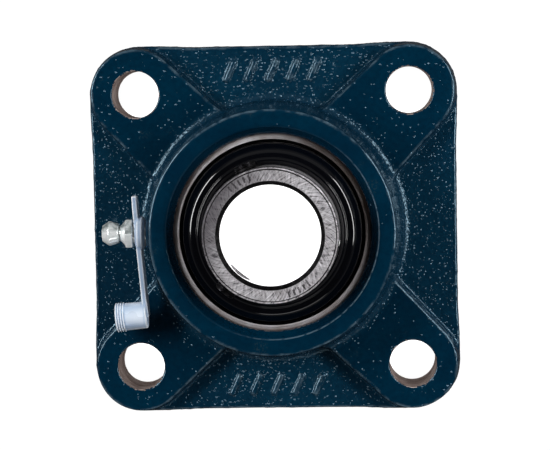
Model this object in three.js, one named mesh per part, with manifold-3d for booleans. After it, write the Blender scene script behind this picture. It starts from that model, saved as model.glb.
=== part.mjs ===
// Square four-bolt flange unit with a self-aligning insert ball bearing, in millimetres.
// The mounting face lies at z = 0. The shaft axis is the z axis and the boss points up.
import * as THREE from 'three';
import { mergeVertices } from 'three/addons/utils/BufferGeometryUtils.js';
import Module from 'manifold-3d';

const wasm = await Module();
wasm.setup();

// ---- Driving dimensions ------------------------------------------------------------------

const TURNED_SIDES = 40; // facets round the large turned pieces
const SMALL_SIDES = 12; // facets round bolts, drillings and screws
const FIT_GAP = 0.3; // left between neighbouring solids that touch on the real unit
const FAR = 100; // reaches past the whole unit

const flange = {
  boltSpacing: 70,
  boltHoleRadius: 6,
  holeChamfer: 0.25,
  lugRadius: 12.5, // round each bolt hole
  lugTop: 14,
  lugDraftHeight: 4, // the step from recess to lug
  lugDraftInset: 0.9,
  plateTop: 10, // floor of the recesses between the lugs
  plateEdge: 0.7, // rounding of the plate's upper edge
  sideRecess: 0.75, // the sides stand back between the lugs
  sideRecessStart: 30, // where a side leaves the lug, from the middle of that side
  sideRecessEnd: 22,
};

const boss = {
  top: 27,
  topRadius: 31,
  topEdge: 0.6,
  baseRadius: 32.6,
  baseFillet: 3.4,
};

const seat = {
  centre: 16, // height of the spherical seat's centre
  radius: 26.2,
  mouthRadius: 26.7, // at the boss face
  throatRadius: 24.8, // where the sphere ends, front and back
  grooveLow: 3.1, // grease groove, above the seat's centre
  grooveHigh: 5.1,
  grooveRadius: 26.9,
  slotWidth: 17.7, // the two slots that let the insert in from the back
  slotRadius: 26.35,
};

const bearing = {
  outerHalfWidth: 8.5,
  outerSphereRadius: 25.95,
  outerShoulderRadius: 21.9,
  sealSeatRadius: 22.65,
  sealSeatDepth: 2.2,
  innerBelow: 14.3, // inner ring, below and above the ball row
  innerAbove: 19.8,
  innerOuterRadius: 17,
  boreRadius: 12.5,
  edgeChamfer: 0.75,
  pitchRadius: 19.52,
  grooveRadius: 4.03,
  ballRadius: 3.9,
  ballCount: 9,
  greaseHoleRadius: 0.9,
  greaseHoleHeight: 4.6,
};

const cage = {
  innerRadius: 18.3,
  outerRadius: 20.7,
  thickness: 0.7,
  splitGap: 0.15, // half the gap between the two halves
  pocketRadius: 4.25,
  flatHalfWidth: 1.9, // between pockets, measured along the pitch circle
  rivetRadius: 0.5,
  rivetHoleRadius: 0.8,
  rivetHeadRadius: 1.05,
  rivetHeadHeight: 0.5,
};

const seal = {
  shroudInner: 18.8,
  shroudOuter: 22.3,
  shroudBottom: 6.55, // from the ball row
  shroudThickness: 0.6,
  rimHeight: 1.5,
  lipInner: 17.3,
  lipHeight: 1.4,
};

const flinger = {
  bottom: 8.1, // from the ball row
  top: 11.1,
  thickness: 0.7,
  inner: 17.3,
  shoulder: 20.3, // where the disc bends down
  rim: 22.2,
  rimHeight: 8.9,
};

const screw = {
  height: 30.8, // of the two set screws above the mounting face
  radius: 2.75,
  holeRadius: 3.05,
  tip: 12.9,
  head: 18.7,
  hexAcrossFlats: 3,
  hexDepth: 2.6,
  pointInset: 0.7,
  angles: [110, 230], // degrees round the shaft axis
};

const nipple = {
  height: 20, // of its axis above the mounting face
  padFace: 32.7, // from the shaft axis
  padRadius: 4.2,
  padRootRadius: 4.6,
  padRoot: 28,
  threadRadius: 2.6,
  threadHoleRadius: 2.9,
  threadDepth: 5,
  drillRadius: 1.2,
  hexStart: 2.85, // lengths along the nipple from the pad face
  hexEnd: 4.6,
  hexAcrossFlats: 7,
  coneEnd: 5.8,
  coneRadius: 2.2,
  neckEnd: 6.5,
  neckRadius: 1.95,
  headBack: 6.6,
  headBackRadius: 2.5,
  headWidest: 8.85,
  headRadius: 3.2,
  tip: 10.7,
  tipRadius: 2,
  feedRadius: 0.8,
  boreStart: 1.4,
  boreRadius: 1.25,
  boreEnd: 9.2,
  mouthRadius: 0.75,
  mouthStart: 9.7,
  ballRadius: 1,
  ballAt: 9,
};

const spring = {
  start: 1.7, // along the nipple from the pad face
  end: 7.6,
  coilRadius: 0.8,
  wireRadius: 0.15,
  turns: 6,
  stepsPerTurn: 9,
  wireSides: 3, // facets on each half of the wire
};

const dustCap = {
  eyeletStart: 0.35, // along the nipple from the pad face
  eyeletEnd: 2.3,
  eyeletInner: 2.95,
  eyeletOuter: 4.1,
  strapMiddle: 1.6, // from the pad face, at the nipple axis
  strapThickness: 1.4,
  strapWidth: 4.6,
  strapLean: 0.072, // sideways shift per millimetre of strap
  tailEnd: 9.4, // from the nipple axis
  capOffset: 21.2, // from the nipple axis to the cap's centre
  capFarEnd: 40.4, // the cap's open and closed ends, from the shaft axis
  capNearEnd: 32.1,
  capRadius: 3.65,
  capWall: 0.65,
  capSides: 24,
};

const castMark = {
  rise: 0.6, // plain slanted bars stand where a maker casts a size mark
  length: 6.2,
  width: 1.6,
  pitch: 5.4,
  count: 5,
  slant: 24, // degrees
  offset: 40.6, // from the shaft axis
};

// ---- Shared helpers ----------------------------------------------------------------------

const rad = THREE.MathUtils.degToRad;

// A closed mesh as a solid that can be cut and joined.
function solidOf(geometry) {
  const bare = geometry.clone();
  bare.deleteAttribute('normal');
  bare.deleteAttribute('uv');
  const merged = mergeVertices(bare);
  const mesh = new wasm.Mesh({
    numProp: 3,
    vertProperties: new Float32Array(merged.attributes.position.array),
    triVerts: new Uint32Array(merged.index.array),
  });
  return new wasm.Manifold(mesh);
}

function geometryOf(solid) {
  const mesh = solid.getMesh();
  const geometry = new THREE.BufferGeometry();
  geometry.setAttribute('position', new THREE.BufferAttribute(mesh.vertProperties, 3));
  geometry.setIndex(new THREE.BufferAttribute(mesh.triVerts, 1));
  geometry.computeVertexNormals();
  return geometry;
}

// Turns a closed outline of [radius, height] points round the z axis.
function turned(outline, sides = TURNED_SIDES) {
  let area = 0;
  outline.forEach(([r0, z0], i) => {
    const [r1, z1] = outline[(i + 1) % outline.length];
    area += r0 * z1 - r1 * z0;
  });
  const ordered = area > 0 ? outline : [...outline].reverse();
  const points = [...ordered, ordered[0]].map(([r, z]) => new THREE.Vector2(r, z));
  return new THREE.LatheGeometry(points, sides).rotateX(Math.PI / 2);
}

// Points of an arc in the [radius, height] plane, ends included, angles in degrees.
function arc(centreR, centreZ, radius, from, to, steps) {
  return Array.from({ length: steps + 1 }, (_, i) => {
    const angle = rad(from + ((to - from) * i) / steps);
    return [centreR + radius * Math.cos(angle), centreZ + radius * Math.sin(angle)];
  });
}

function block(x0, x1, y0, y1, z0, z1) {
  const geometry = new THREE.BoxGeometry(x1 - x0, y1 - y0, z1 - z0);
  return geometry.translate((x0 + x1) / 2, (y0 + y1) / 2, (z0 + z1) / 2);
}

// A rod along z from z0 to z1.
function rod(radius, z0, z1, sides = SMALL_SIDES) {
  const geometry = new THREE.CylinderGeometry(radius, radius, z1 - z0, sides);
  return geometry.rotateX(Math.PI / 2).translate(0, 0, (z0 + z1) / 2);
}

function hexRod(acrossFlats, z0, z1) {
  return rod(acrossFlats / Math.sqrt(3), z0, z1, 6);
}

// An upright prism whose top closes in by inset over the last edge millimetres of height.
function prism(shape, top, edge, inset) {
  const geometry = new THREE.ExtrudeGeometry(shape, {
    depth: top,
    bevelEnabled: true,
    bevelThickness: edge,
    bevelSize: inset,
    bevelOffset: -inset,
    bevelSegments: 1,
    curveSegments: SMALL_SIDES / 2,
  });
  geometry.translate(0, 0, -edge);
  const above = solidOf(block(-FAR, FAR, -FAR, FAR, 0, FAR));
  return solidOf(geometry).intersect(above);
}

// Moves a geometry made along +z so that it points out of the housing along the nipple.
function alongNipple(geometry) {
  return geometry.rotateY(-Math.PI / 2).translate(-nipple.padFace, 0, nipple.height);
}

// Moves a geometry made along +z so that it points outwards at an angle round the shaft.
function alongRadius(geometry, degrees, height) {
  return geometry.rotateY(Math.PI / 2).rotateZ(rad(degrees)).translate(0, 0, height);
}

// ---- Housing -----------------------------------------------------------------------------

function plateOutline() {
  const half = flange.boltSpacing / 2;
  const edge = half + flange.lugRadius;
  const inner = edge - flange.sideRecess;
  const shape = new THREE.Shape();
  for (let corner = 0; corner < 4; corner += 1) {
    const turn = (corner * Math.PI) / 2;
    const at = (x, y) => new THREE.Vector2(x, y).rotateAround(new THREE.Vector2(), turn);
    const side = [
      at(edge, -flange.sideRecessStart),
      at(inner, -flange.sideRecessEnd),
      at(inner, flange.sideRecessEnd),
      at(edge, flange.sideRecessStart),
    ];
    side.forEach((p, i) => (corner + i === 0 ? shape.moveTo(p.x, p.y) : shape.lineTo(p.x, p.y)));
    const centre = at(half, half);
    shape.absarc(centre.x, centre.y, flange.lugRadius, turn, turn + Math.PI / 2, false);
  }
  return shape;
}

// A lug runs from the boss to its bolt hole along a diagonal.
function lugOutline(corner) {
  const reach = (flange.boltSpacing / 2) * Math.SQRT2;
  const turn = Math.PI / 4 + (corner * Math.PI) / 2;
  const centre = new THREE.Vector2(reach, 0).rotateAround(new THREE.Vector2(), turn);
  const root = (side) => {
    const start = new THREE.Vector2(boss.topRadius / 2, side * flange.lugRadius);
    return start.rotateAround(new THREE.Vector2(), turn);
  };
  const shape = new THREE.Shape();
  shape.moveTo(root(-1).x, root(-1).y);
  shape.absarc(centre.x, centre.y, flange.lugRadius, turn - Math.PI / 2, turn + Math.PI / 2, false);
  shape.lineTo(root(1).x, root(1).y);
  return shape;
}

function bossSolid() {
  const { top, topRadius, topEdge, baseRadius, baseFillet } = boss;
  const fillet = arc(
    baseRadius + baseFillet, flange.plateTop + baseFillet, baseFillet, 270, 180, 4);
  return solidOf(turned([
    [0, flange.plateTop / 2],
    [baseRadius + baseFillet, flange.plateTop / 2],
    ...fillet,
    [topRadius, top - topEdge],
    [topRadius - topEdge, top],
    [0, top],
  ]));
}

function seatRadiusAt(height) {
  return Math.sqrt(seat.radius ** 2 - height ** 2);
}

// The spherical seat with its grease groove, opening to the front and the back.
function seatCavity() {
  const end = Math.sqrt(seat.radius ** 2 - seat.throatRadius ** 2);
  const endAngle = THREE.MathUtils.radToDeg(Math.asin(end / seat.radius));
  const grooveAngle = THREE.MathUtils.radToDeg(Math.asin(seat.grooveLow / seat.radius));
  const over = 1;
  return solidOf(turned([
    [0, -over],
    [seat.throatRadius, -over],
    ...arc(0, seat.centre, seat.radius, -endAngle, grooveAngle, 4),
    [seat.grooveRadius, seat.centre + seat.grooveLow],
    [seat.grooveRadius, seat.centre + seat.grooveHigh],
    [seatRadiusAt(seat.grooveHigh), seat.centre + seat.grooveHigh],
    [seat.throatRadius, seat.centre + end],
    [seat.mouthRadius, boss.top],
    [seat.mouthRadius, boss.top + over],
    [0, boss.top + over],
  ]));
}

// Slots on the back that let the insert in edgewise before it is swung into its seat.
function loadingSlots() {
  const half = seat.slotWidth / 2;
  const reach = seat.slotRadius;
  const disc = solidOf(rod(reach, -1, seat.centre, TURNED_SIDES));
  return disc.intersect(solidOf(block(-half, half, -reach, reach, -2, seat.centre + 1)));
}

function boltHole(x, y) {
  const { boltHoleRadius: r, holeChamfer: c, lugTop } = flange;
  const over = 1;
  const hole = turned([
    [0, -over], [r + c + over, -over], [r, c], [r, lugTop - c],
    [r + c + over, lugTop + over], [0, lugTop + over],
  ], SMALL_SIDES * 2);
  return solidOf(hole.translate(x, y, 0));
}

function nipplePad() {
  const { padRoot, padFace, padRadius, padRootRadius } = nipple;
  const length = padFace - padRoot;
  const pad = new THREE.CylinderGeometry(padRadius, padRootRadius, length, SMALL_SIDES);
  return solidOf(alongNipple(pad.rotateX(Math.PI / 2).translate(0, 0, -length / 2)));
}

function nippleHole() {
  const { threadHoleRadius, threadDepth, drillRadius, padFace } = nipple;
  const thread = solidOf(alongNipple(rod(threadHoleRadius, -threadDepth - FIT_GAP, 1)));
  const reach = padFace - seat.radius + 1;
  return thread.add(solidOf(alongNipple(rod(drillRadius, -reach, 0))));
}

// A row of plain slanted bars, raised in the recess above or below the boss.
function castMarks(side) {
  const { rise, length, width, pitch, count, slant, offset } = castMark;
  const bars = [];
  for (let i = 0; i < count; i += 1) {
    const bar = block(-width / 2, width / 2, -length / 2, length / 2, -1, rise);
    bar.rotateZ(-rad(slant));
    bar.translate((i - (count - 1) / 2) * pitch, side * offset, flange.plateTop);
    bars.push(solidOf(bar));
  }
  return bars;
}

function housingGeometry() {
  let body = prism(plateOutline(), flange.plateTop, flange.plateEdge, flange.plateEdge);
  const half = flange.boltSpacing / 2;
  const holes = [];
  for (let corner = 0; corner < 4; corner += 1) {
    const { lugTop, lugDraftHeight, lugDraftInset } = flange;
    body = body.add(prism(lugOutline(corner), lugTop, lugDraftHeight, lugDraftInset));
    const turn = Math.PI / 4 + (corner * Math.PI) / 2;
    holes.push(boltHole(half * Math.SQRT2 * Math.cos(turn), half * Math.SQRT2 * Math.sin(turn)));
  }
  body = body.add(bossSolid()).add(nipplePad());
  for (const bar of [...castMarks(1), ...castMarks(-1)]) {
    body = body.add(bar);
  }
  for (const cut of [seatCavity(), loadingSlots(), nippleHole(), ...holes]) {
    body = body.subtract(cut);
  }
  return geometryOf(body);
}

// ---- Rings, balls and cage ---------------------------------------------------------------

function outerRingGeometry() {
  const b = bearing;
  const w = b.outerHalfWidth;
  const groove = Math.asin((b.outerShoulderRadius - b.pitchRadius) / b.grooveRadius);
  const grooveAngle = 90 - THREE.MathUtils.radToDeg(groove);
  const chamferRadius = Math.sqrt(b.outerSphereRadius ** 2 - w ** 2);
  const edge = THREE.MathUtils.radToDeg(Math.asin((w - 0.5) / b.outerSphereRadius));
  const seatStart = w - b.sealSeatDepth;
  const ring = turned([
    ...arc(0, seat.centre, b.outerSphereRadius, -edge, edge, 6),
    [chamferRadius - 0.5, seat.centre + w],
    [b.sealSeatRadius, seat.centre + w],
    [b.sealSeatRadius, seat.centre + seatStart],
    [b.outerShoulderRadius, seat.centre + seatStart],
    ...arc(b.pitchRadius, seat.centre, b.grooveRadius, grooveAngle, -grooveAngle, 6),
    [b.outerShoulderRadius, seat.centre - seatStart],
    [b.sealSeatRadius, seat.centre - seatStart],
    [b.sealSeatRadius, seat.centre - w],
    [chamferRadius - 0.5, seat.centre - w],
  ]);
  const hole = rod(b.greaseHoleRadius, b.pitchRadius, seat.radius + 1, SMALL_SIDES / 2);
  const drilling = alongRadius(hole, 180, seat.centre + b.greaseHoleHeight);
  return geometryOf(solidOf(ring).subtract(solidOf(drilling)));
}

function innerRingGeometry() {
  const b = bearing;
  const low = seat.centre - b.innerBelow;
  const high = seat.centre + b.innerAbove;
  const c = b.edgeChamfer;
  const groove = Math.acos((b.pitchRadius - b.innerOuterRadius) / b.grooveRadius);
  const grooveAngle = THREE.MathUtils.radToDeg(groove);
  const ring = turned([
    [b.boreRadius, low + c],
    [b.boreRadius + c, low],
    [b.innerOuterRadius - c / 2, low],
    [b.innerOuterRadius, low + c / 2],
    ...arc(b.pitchRadius, seat.centre, b.grooveRadius, 180 + grooveAngle, 180 - grooveAngle, 6),
    [b.innerOuterRadius, high - c / 2],
    [b.innerOuterRadius - c / 2, high],
    [b.boreRadius + c, high],
    [b.boreRadius, high - c],
  ]);
  let solid = solidOf(ring);
  for (const angle of screw.angles) {
    const hole = rod(screw.holeRadius, b.boreRadius / 2, b.innerOuterRadius + 1);
    solid = solid.subtract(solidOf(alongRadius(hole, angle, screw.height)));
  }
  return geometryOf(solid);
}

function ballGeometry(index) {
  const angle = (index * 2 * Math.PI) / bearing.ballCount;
  const ball = new THREE.IcosahedronGeometry(bearing.ballRadius, 2);
  const { pitchRadius: r } = bearing;
  return ball.translate(r * Math.cos(angle), r * Math.sin(angle), seat.centre);
}

// One pocket's outline, from the middle of one flat to the middle of the next, as
// [distance along the pitch circle, height] pairs of the inner and the outer face.
function pocketProfile() {
  const { pocketRadius: r, splitGap, thickness, flatHalfWidth } = cage;
  const half = (Math.PI * bearing.pitchRadius) / bearing.ballCount;
  const start = Math.asin((splitGap + thickness) / (r + thickness));
  const steps = 8;
  const profile = [];
  profile.push([[-half, splitGap], [-half, splitGap + thickness]]);
  profile.push([[-half + flatHalfWidth, splitGap], [-half + flatHalfWidth, splitGap + thickness]]);
  for (let i = 0; i <= steps; i += 1) {
    const angle = Math.PI - start - ((Math.PI - 2 * start) * i) / steps;
    const at = (radius) => [radius * Math.cos(angle), radius * Math.sin(angle)];
    profile.push([at(r), at(r + thickness)]);
  }
  profile.push([[half - flatHalfWidth, splitGap], [half - flatHalfWidth, splitGap + thickness]]);
  return profile;
}

// A pressed ribbon that waves round the balls; side is +1 for the front half, -1 for the back.
function cageHalfGeometry(side) {
  const { innerRadius, outerRadius, rivetHoleRadius } = cage;
  const positions = [];
  const profile = pocketProfile();
  for (let ball = 0; ball < bearing.ballCount; ball += 1) {
    for (const [inner, outer] of profile) {
      for (const [radius, [s, z]] of [
        [innerRadius, inner], [outerRadius, inner], [outerRadius, outer], [innerRadius, outer],
      ]) {
        const angle = (ball * 2 * Math.PI) / bearing.ballCount + s / bearing.pitchRadius;
        positions.push(radius * Math.cos(angle), radius * Math.sin(angle), seat.centre + side * z);
      }
    }
  }
  const sections = profile.length * bearing.ballCount;
  const index = [];
  for (let i = 0; i < sections; i += 1) {
    const here = i * 4;
    const next = ((i + 1) % sections) * 4;
    for (let k = 0; k < 4; k += 1) {
      const l = (k + 1) % 4;
      const faces = [[here + k, here + l, next + l], [here + k, next + l, next + k]];
      faces.forEach(([a, b, c]) => (side > 0 ? index.push(a, c, b) : index.push(a, b, c)));
    }
  }
  const geometry = new THREE.BufferGeometry();
  geometry.setAttribute('position', new THREE.Float32BufferAttribute(positions, 3));
  geometry.setIndex(index);
  let solid = solidOf(geometry);
  for (let i = 0; i < bearing.ballCount; i += 1) {
    const hole = rod(rivetHoleRadius, -2, 2, SMALL_SIDES / 2);
    solid = solid.subtract(solidOf(placeBetweenBalls(hole, i)));
  }
  return geometryOf(solid);
}

function placeBetweenBalls(geometry, index) {
  const angle = ((index + 0.5) * 2 * Math.PI) / bearing.ballCount;
  const { pitchRadius: r } = bearing;
  return geometry.translate(r * Math.cos(angle), r * Math.sin(angle), seat.centre);
}

function rivetGeometry(index) {
  const under = cage.splitGap + cage.thickness + FIT_GAP / 2;
  const top = under + cage.rivetHeadHeight;
  const rivet = turned([
    [0, -top], [cage.rivetHeadRadius, -top], [cage.rivetHeadRadius, -under],
    [cage.rivetRadius, -under], [cage.rivetRadius, under],
    [cage.rivetHeadRadius, under], [cage.rivetHeadRadius, top], [0, top],
  ], SMALL_SIDES / 2);
  return placeBetweenBalls(rivet, index);
}

// ---- Seals, flingers and set screws ------------------------------------------------------

// Mirrors an outline of heights measured from the ball row to the front or the back.
function onSide(outline, side) {
  return turned(outline.map(([r, z]) => [r, seat.centre + side * z]));
}

function shroudGeometry(side) {
  const { shroudInner, shroudOuter, shroudBottom: z, shroudThickness: t, rimHeight } = seal;
  return onSide([
    [shroudInner, z], [shroudOuter, z], [shroudOuter, z + rimHeight],
    [shroudOuter - t, z + rimHeight], [shroudOuter - t, z + t], [shroudInner, z + t],
  ], side);
}

function lipGeometry(side) {
  const { lipInner, shroudInner, shroudBottom: z, shroudThickness: t, lipHeight } = seal;
  const outer = shroudInner - FIT_GAP;
  return onSide([
    [lipInner, z - t / 2], [lipInner + t, z - t / 2], [outer, z], [outer, z + t],
    [lipInner + t, z + lipHeight], [lipInner, z + lipHeight],
  ], side);
}

function flingerGeometry(side) {
  const { bottom, top, thickness: t, inner, shoulder, rim, rimHeight } = flinger;
  return onSide([
    [inner, bottom], [inner + t, bottom], [inner + t, top - t], [shoulder - t / 2, top - t],
    [rim - t / 2, rimHeight], [rim, rimHeight + t / 2], [shoulder, top], [inner, top],
  ], side);
}

function setScrewGeometry(angle) {
  const { radius, tip, head, hexAcrossFlats, hexDepth, pointInset } = screw;
  const body = turned([
    [0, tip], [radius - pointInset, tip], [radius, tip + pointInset], [radius, head], [0, head],
  ], SMALL_SIDES);
  const socket = hexRod(hexAcrossFlats, head - hexDepth, head + 1);
  const solid = solidOf(body).subtract(solidOf(socket));
  return alongRadius(geometryOf(solid), angle, screw.height);
}

// ---- Grease nipple and dust cap ----------------------------------------------------------

function nippleGeometry() {
  const n = nipple;
  const body = turned([
    [n.feedRadius, -n.threadDepth], [n.threadRadius, -n.threadDepth],
    [n.threadRadius, n.hexStart], [n.hexAcrossFlats / 2 - 0.1, n.hexStart],
    [n.hexAcrossFlats / 2 - 0.1, n.hexEnd], [n.coneRadius, n.coneEnd],
    [n.neckRadius, n.coneEnd], [n.neckRadius, n.neckEnd], [n.headBackRadius, n.headBack],
    [n.headRadius, n.headWidest], [n.tipRadius, n.tip], [n.mouthRadius, n.tip],
    [n.mouthRadius, n.mouthStart], [n.boreRadius, n.boreEnd], [n.boreRadius, n.boreStart],
    [n.feedRadius, n.boreStart],
  ], SMALL_SIDES);
  const hex = solidOf(hexRod(n.hexAcrossFlats, n.hexStart, n.hexEnd));
  const core = solidOf(rod(n.threadRadius, n.hexStart - 1, n.hexEnd + 1));
  return alongNipple(geometryOf(solidOf(body).add(hex.subtract(core))));
}

function checkBallGeometry() {
  const ball = new THREE.IcosahedronGeometry(nipple.ballRadius, 1);
  return alongNipple(ball.translate(0, 0, nipple.ballAt));
}

class Helix extends THREE.Curve {
  getPoint(t, target = new THREE.Vector3()) {
    const angle = 2 * Math.PI * spring.turns * t;
    const along = THREE.MathUtils.lerp(
      spring.start + spring.wireRadius, spring.end - spring.wireRadius, t);
    const r = spring.coilRadius;
    return target.set(r * Math.cos(angle), r * Math.sin(angle), along);
  }
}

function springGeometry() {
  const wire = new THREE.Shape();
  wire.absarc(0, 0, spring.wireRadius, 0, 2 * Math.PI, false);
  const coil = new THREE.ExtrudeGeometry(wire, {
    extrudePath: new Helix(),
    steps: spring.turns * spring.stepsPerTurn,
    curveSegments: spring.wireSides,
  });
  return alongNipple(coil);
}

// The strap leans, so its middle line shifts along the nipple with its distance from it.
function strapMiddle(y) {
  return -(nipple.padFace + dustCap.strapMiddle) - dustCap.strapLean * y;
}

function dustCapGeometry() {
  const d = dustCap;
  const at = nipple.height;
  const eyelet = turned([
    [d.eyeletInner, d.eyeletStart], [d.eyeletOuter, d.eyeletStart],
    [d.eyeletOuter, d.eyeletEnd], [d.eyeletInner, d.eyeletEnd],
  ], d.capSides);
  const half = d.strapThickness / 2;
  const low = -d.capOffset;
  const strap = new THREE.Shape([
    new THREE.Vector2(strapMiddle(d.tailEnd) - half, d.tailEnd),
    new THREE.Vector2(strapMiddle(low) - half, low),
    new THREE.Vector2(strapMiddle(low) + half, low),
    new THREE.Vector2(strapMiddle(d.tailEnd) + half, d.tailEnd),
  ]);
  const band = new THREE.ExtrudeGeometry(strap, { depth: d.strapWidth, bevelEnabled: false });
  band.translate(0, 0, at - d.strapWidth / 2);
  const cap = turned([
    [0, d.capNearEnd], [d.capRadius, d.capNearEnd], [d.capRadius, d.capFarEnd],
    [d.capRadius - d.capWall, d.capFarEnd], [d.capRadius - d.capWall, d.capNearEnd + d.capWall],
    [0, d.capNearEnd + d.capWall],
  ], d.capSides);
  cap.rotateY(-Math.PI / 2).translate(0, -d.capOffset, at);
  const well = rod(d.capRadius - d.capWall, d.capNearEnd + d.capWall, d.capFarEnd, d.capSides);
  well.rotateY(-Math.PI / 2).translate(0, -d.capOffset, at);
  const eye = alongNipple(rod(d.eyeletInner, -1, d.eyeletEnd + 2, d.capSides));
  const strapSolid = solidOf(band).subtract(solidOf(eye)).subtract(solidOf(well));
  return geometryOf(strapSolid.add(solidOf(alongNipple(eyelet))).add(solidOf(cap)));
}

// ---- Assembly ----------------------------------------------------------------------------

const finish = {
  enamel: { color: 0x062a40, roughness: 0.35, metalness: 0 },
  groundSteel: { color: 0x9a979c, roughness: 0.35, metalness: 1 },
  ringSteel: { color: 0x5f5c60, roughness: 0.4, metalness: 1 },
  ballSteel: { color: 0xc8c8cc, roughness: 0.1, metalness: 1 },
  pressedSteel: { color: 0x8a8a8c, roughness: 0.45, metalness: 1 },
  blackCoat: { color: 0x0a0a0e, roughness: 0.25, metalness: 0.2 },
  rubber: { color: 0x111111, roughness: 0.8, metalness: 0 },
  darkSteel: { color: 0x2b2b2e, roughness: 0.4, metalness: 1 },
  zinc: { color: 0xd3dcdd, roughness: 0.25, metalness: 1 },
  softPlastic: { color: 0x9fb2c6, roughness: 0.4, metalness: 0 },
};

const unit = new THREE.Group();

function place(name, geometry, look) {
  const mesh = new THREE.Mesh(geometry, new THREE.MeshStandardMaterial(look));
  mesh.name = name;
  unit.add(mesh);
}

place('housing', housingGeometry(), finish.enamel);
place('outer_ring', outerRingGeometry(), finish.ringSteel);
place('inner_ring', innerRingGeometry(), finish.groundSteel);
for (let i = 0; i < bearing.ballCount; i += 1) {
  place(`ball_${i + 1}`, ballGeometry(i), finish.ballSteel);
  place(`cage_rivet_${i + 1}`, rivetGeometry(i), finish.pressedSteel);
}
place('cage_front', cageHalfGeometry(1), finish.pressedSteel);
place('cage_back', cageHalfGeometry(-1), finish.pressedSteel);
for (const [end, side] of [['front', 1], ['back', -1]]) {
  place(`seal_shroud_${end}`, shroudGeometry(side), finish.pressedSteel);
  place(`seal_lip_${end}`, lipGeometry(side), finish.rubber);
  place(`flinger_${end}`, flingerGeometry(side), finish.blackCoat);
}
screw.angles.forEach((angle, i) => {
  place(`set_screw_${i + 1}`, setScrewGeometry(angle), finish.darkSteel);
});
place('grease_nipple', nippleGeometry(), finish.zinc);
place('nipple_check_ball', checkBallGeometry(), finish.ballSteel);
place('nipple_spring', springGeometry(), finish.pressedSteel);
place('dust_cap', dustCapGeometry(), finish.softPlastic);

export default unit;
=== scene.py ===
"""Square flange bearing unit: fine meshes, materials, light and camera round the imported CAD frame.

Shapes are worked out in millimetres and written to the meshes in metres.
"""
from functools import reduce
import math

import bpy
import numpy as np
from mathutils import Matrix, Vector


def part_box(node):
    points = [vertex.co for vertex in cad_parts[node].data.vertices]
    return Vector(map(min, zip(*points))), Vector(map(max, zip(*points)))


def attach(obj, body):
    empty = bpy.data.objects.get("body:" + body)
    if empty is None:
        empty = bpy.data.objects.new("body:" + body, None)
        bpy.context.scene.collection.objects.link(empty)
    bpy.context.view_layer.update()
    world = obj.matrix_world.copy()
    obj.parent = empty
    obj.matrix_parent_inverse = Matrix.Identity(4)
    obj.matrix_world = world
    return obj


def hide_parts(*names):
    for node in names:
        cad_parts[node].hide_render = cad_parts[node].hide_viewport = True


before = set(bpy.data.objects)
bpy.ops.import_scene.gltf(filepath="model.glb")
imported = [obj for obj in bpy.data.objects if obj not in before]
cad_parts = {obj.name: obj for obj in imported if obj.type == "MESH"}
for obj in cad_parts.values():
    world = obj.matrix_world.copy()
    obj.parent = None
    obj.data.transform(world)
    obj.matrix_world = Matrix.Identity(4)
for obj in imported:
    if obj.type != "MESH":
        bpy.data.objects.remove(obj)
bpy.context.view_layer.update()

MM = 0.001
scene = bpy.context.scene


# ---- Sizes, in millimetres ----

def node_box(node):
    """Lowest and highest corner of a CAD node, in millimetres."""
    low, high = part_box(node)
    return [c / MM for c in low], [c / MM for c in high]


HOUSING_LOW, HOUSING_HIGH = node_box("housing")
INNER_LOW, INNER_HIGH = node_box("inner_ring")
OUTER_LOW, OUTER_HIGH = node_box("outer_ring")

HALF_SIDE = HOUSING_HIGH[0]
BOSS_TOP = HOUSING_HIGH[2]
HOLE_OFFSET = 35.0  # of a bolt hole from the middle, along x and y
HOLE_RADIUS = 6.0
LUG_RADIUS = HALF_SIDE - HOLE_OFFSET
LUG_TOP = 14.0
PLATE_TOP = 10.0
SIDE_RECESS = 0.4
SEAT_CENTRE = (OUTER_LOW[2] + OUTER_HIGH[2]) / 2
SEAT_RADIUS = 26.2
THROAT_RADIUS = 24.8
MOUTH_RADIUS = 26.7
SEAT_TOP = SEAT_CENTRE + math.sqrt(SEAT_RADIUS ** 2 - THROAT_RADIUS ** 2)
BOSS_BASE_RADIUS = 32.6
BOSS_BASE_HEIGHT = 13.4
BOSS_TOP_RADIUS = 31.0
LUG_EDGE = 0.3  # rounding of outside edges, and then of inside corners
PLATE_EDGE = 0.6
BOSS_EDGE = 0.4
MARK_EDGE = 0.4
LUG_FILLET = 0.5
BOSS_FILLET = 1.9
PAD_FILLET = 1.2
NIPPLE_HEIGHT = 20.0
NIPPLE_PAD_FACE = 32.7
NIPPLE_PAD_RADIUS = 4.2
THREAD_HOLE_RADIUS = 2.9
SLOT_WIDTH = 17.7
SLOT_RADIUS = 26.35


# ---- Distance fields: negative inside, in millimetres ----

def both(*fields):
    """Intersection."""
    return reduce(np.maximum, fields)


def either(*fields):
    """Union."""
    return reduce(np.minimum, fields)


def round_max(a, b, radius):
    """Intersection whose edge is rounded."""
    reach = np.hypot(np.maximum(radius + a, 0), np.maximum(radius + b, 0))
    return np.minimum(-radius, np.maximum(a, b)) + reach


def round_min(a, b, radius):
    """Union whose inside corner is filleted."""
    reach = np.hypot(np.maximum(radius - a, 0), np.maximum(radius - b, 0))
    return np.maximum(radius, np.minimum(a, b)) - reach


def corner_distance(u, v):
    """Distance to a corner that fills the quarter where u and v are negative."""
    return np.hypot(np.maximum(u, 0), np.maximum(v, 0)) + np.minimum(np.maximum(u, v), 0)


def smooth_step(low, high, value):
    t = np.clip((value - low) / (high - low), 0, 1)
    return t * t * (3 - 2 * t)


LATTICE = 64
lattice_values = np.random.default_rng(7).uniform(-1, 1, (LATTICE,) * 3).astype(np.float32)


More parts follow.
